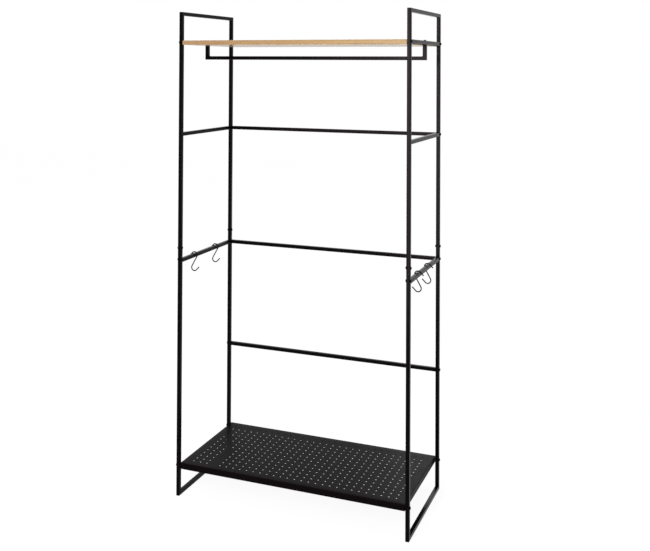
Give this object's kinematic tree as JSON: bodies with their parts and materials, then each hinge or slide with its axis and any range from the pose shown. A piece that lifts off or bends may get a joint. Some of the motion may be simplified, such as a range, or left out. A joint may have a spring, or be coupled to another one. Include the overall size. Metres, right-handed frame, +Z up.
{
  "type": "open frame wardrobe",
  "caption": "Tall open frame of square black tube with an oak shelf, a hanging rod below it, sliding S-hooks at the sides and a perforated steel tray near the floor.",
  "frame": {"origin": "centre of the footprint on the floor, under the middle of the frame", "axes": "+Z up, +X to the right seen from the front, -Y towards the front, +Y towards the back rails"},
  "size_m": [1.0032, 0.46, 1.95],
  "materials": {
    "frame_steel": "matt black powder coat",
    "tray_steel": "satin charcoal powder coat",
    "hook_wire": "satin black",
    "fasteners": "satin black",
    "connector_steel": "bare steel",
    "shelf_oak": "light oak, satin"
  },
  "bodies": {
    "frame": {"left_top_rail": "frame_steel", "left_shelf_rail": "frame_steel", "left_mid_rail": "frame_steel", "left_hook_rail": "frame_steel", "left_floor_rail": "frame_steel", "left_front_upper_post": "frame_steel", "left_front_lower_post": "frame_steel", "left_back_upper_post": "frame_steel", "left_back_lower_post": "frame_steel", "right_top_rail": "frame_steel", "right_shelf_rail": "frame_steel", "right_mid_rail": "frame_steel", "right_hook_rail": "frame_steel", "right_floor_rail": "frame_steel", "right_front_upper_post": "frame_steel", "right_front_lower_post": "frame_steel", "right_back_upper_post": "frame_steel", "right_back_lower_post": "frame_steel", "upper_back_rail": "frame_steel", "middle_back_rail": "frame_steel", "lower_back_rail": "frame_steel", "garment_rod": "frame_steel", "shelf_board": "shelf_oak", "perforated_tray": "tray_steel", "left_front_post_connector": "connector_steel", "left_back_post_connector": "connector_steel", "right_front_post_connector": "connector_steel", "right_back_post_connector": "connector_steel", "left_front_upper_bolt": "fasteners", "left_back_upper_bolt": "fasteners", "right_front_upper_bolt": "fasteners", "right_back_upper_bolt": "fasteners", "left_front_upper_nut": "fasteners", "left_back_upper_nut": "fasteners", "right_front_upper_nut": "fasteners", "right_back_upper_nut": "fasteners", "left_front_lower_bolt": "fasteners", "right_front_lower_bolt": "fasteners", "left_front_lower_nut": "fasteners", "right_front_lower_nut": "fasteners", "left_front_shelf_screw": "fasteners", "left_back_shelf_screw": "fasteners", "right_front_shelf_screw": "fasteners", "right_back_shelf_screw": "fasteners", "left_front_tray_screw": "fasteners", "left_back_tray_screw": "fasteners", "right_front_tray_screw": "fasteners", "right_back_tray_screw": "fasteners", "left_upper_back_rail_screw": "fasteners", "left_middle_back_rail_screw": "fasteners", "left_lower_back_rail_screw": "fasteners", "right_upper_back_rail_screw": "fasteners", "right_middle_back_rail_screw": "fasteners", "right_lower_back_rail_screw": "fasteners", "left_rod_screw": "fasteners", "right_rod_screw": "fasteners"},
    "left_front_hook": {"left_front_hook": "hook_wire"},
    "left_back_hook": {"left_back_hook": "hook_wire"},
    "right_front_hook": {"right_front_hook": "hook_wire"},
    "right_back_hook": {"right_back_hook": "hook_wire"}
  },
  "joints": [
    {"name": "left_front_hook_slide", "type": "slide", "parent": "frame", "child": "left_front_hook", "axis": [0, 1, 0], "range_m": [-0.1, 0.07]},
    {"name": "left_back_hook_slide", "type": "slide", "parent": "frame", "child": "left_back_hook", "axis": [0, 1, 0], "range_m": [-0.095, 0.12]},
    {"name": "right_front_hook_slide", "type": "slide", "parent": "frame", "child": "right_front_hook", "axis": [0, 1, 0], "range_m": [-0.115, 0.055]},
    {"name": "right_back_hook_slide", "type": "slide", "parent": "frame", "child": "right_back_hook", "axis": [0, 1, 0], "range_m": [-0.07, 0.15]}
  ]
}
